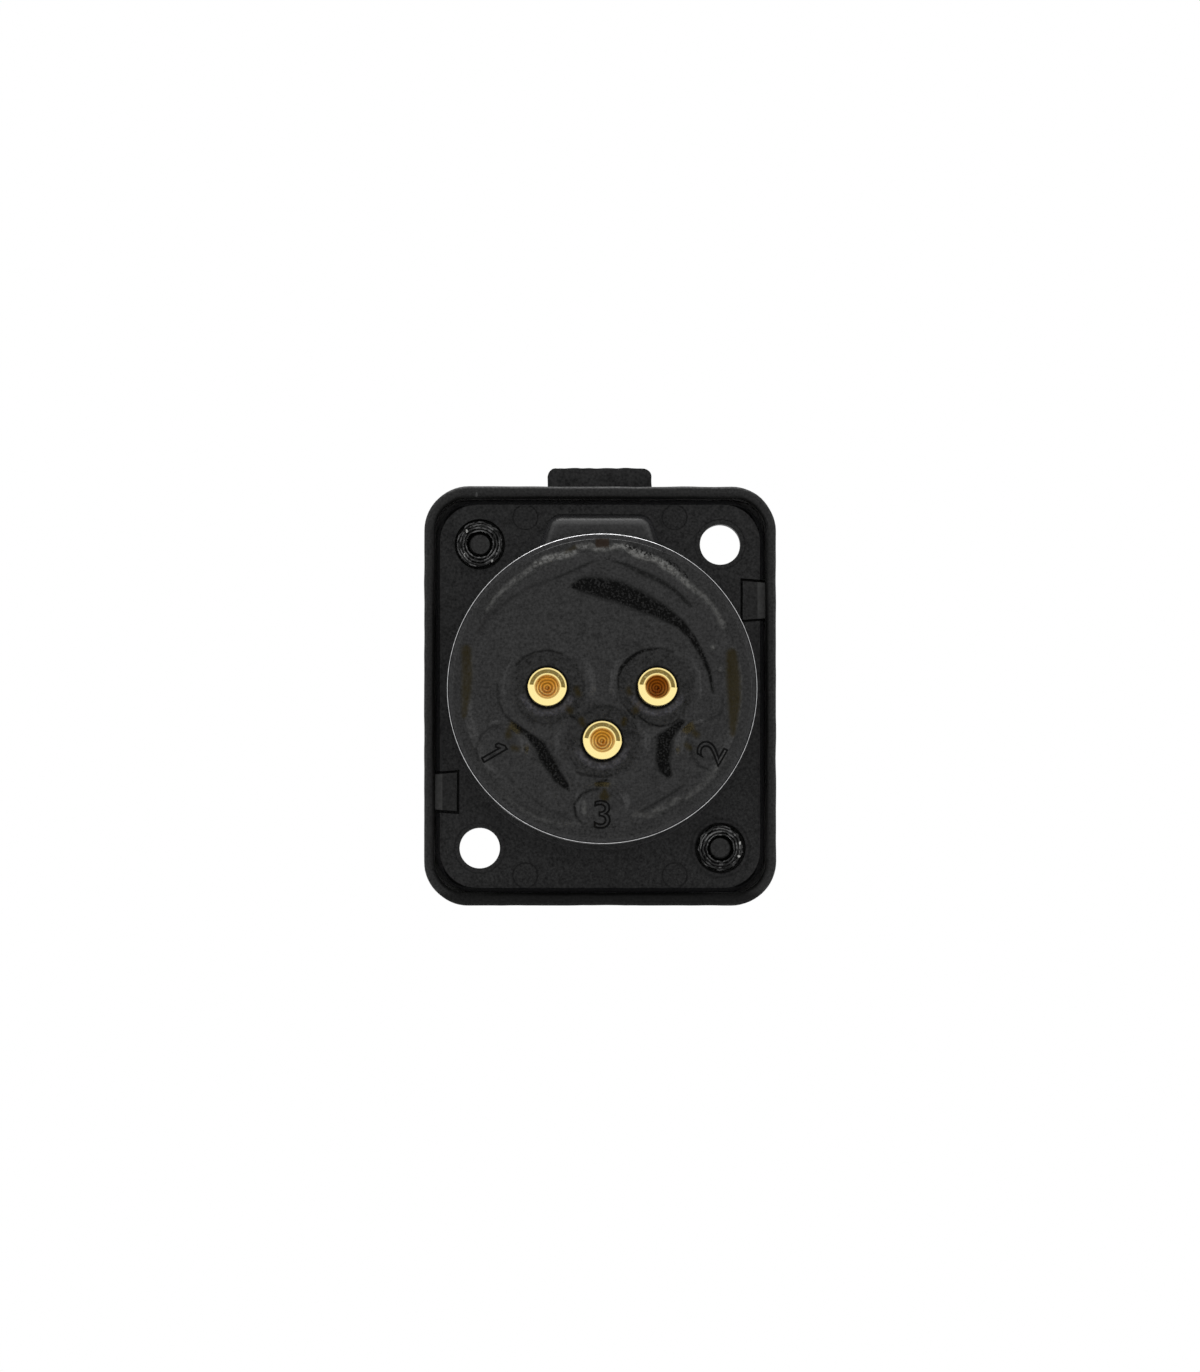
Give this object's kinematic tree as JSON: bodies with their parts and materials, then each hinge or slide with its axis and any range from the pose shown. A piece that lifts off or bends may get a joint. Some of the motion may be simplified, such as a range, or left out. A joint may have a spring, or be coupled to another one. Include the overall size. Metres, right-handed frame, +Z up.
{
  "type": "xlr connector",
  "caption": "Panel-mount XLR socket with a sealed rectangular flange, a push latch, a potted rear and gold solder cups.",
  "frame": {"origin": "on the connector's axis, in the plane where the seal's rim meets the panel", "axes": "+Y along the connector's axis to the rear (solder side), -Y to the plug side, +Z up towards the push tab"},
  "size_m": [0.0278, 0.0271, 0.0349],
  "materials": {
    "housing_coat": "satin",
    "seal_rubber": "matte",
    "insulator": "matte",
    "potting_resin": "gloss",
    "contact_gold": "polished",
    "sleeve_steel": "satin",
    "lever_steel": "satin",
    "cap_plastic": "matte"
  },
  "bodies": {
    "housing": {"flange_housing": "housing_coat", "flange_boot": "seal_rubber", "contact_insert": "insulator", "rear_carrier": "insulator", "potting_seal": "potting_resin", "contact_1": "contact_gold", "contact_2": "contact_gold", "contact_3": "contact_gold", "contact_hood_1": "sleeve_steel", "contact_hood_2": "sleeve_steel", "contact_hood_3": "sleeve_steel", "plug_face_seal": "seal_rubber", "insert_oring": "seal_rubber", "latch_pivot_pin": "lever_steel", "latch_spring": "sleeve_steel"},
    "latch": {"latch_lever": "lever_steel", "push_cap": "cap_plastic"}
  },
  "joints": [
    {"name": "latch_press", "type": "hinge", "parent": "housing", "child": "latch", "pos_m": [0, -0.00175, 0.013], "axis": [1, 0, 0], "range_deg": [0, 7.4], "stiffness_Nm_per_rad": 0.12, "springref_deg": -5.73, "deforming": ["latch_spring"]}
  ]
}
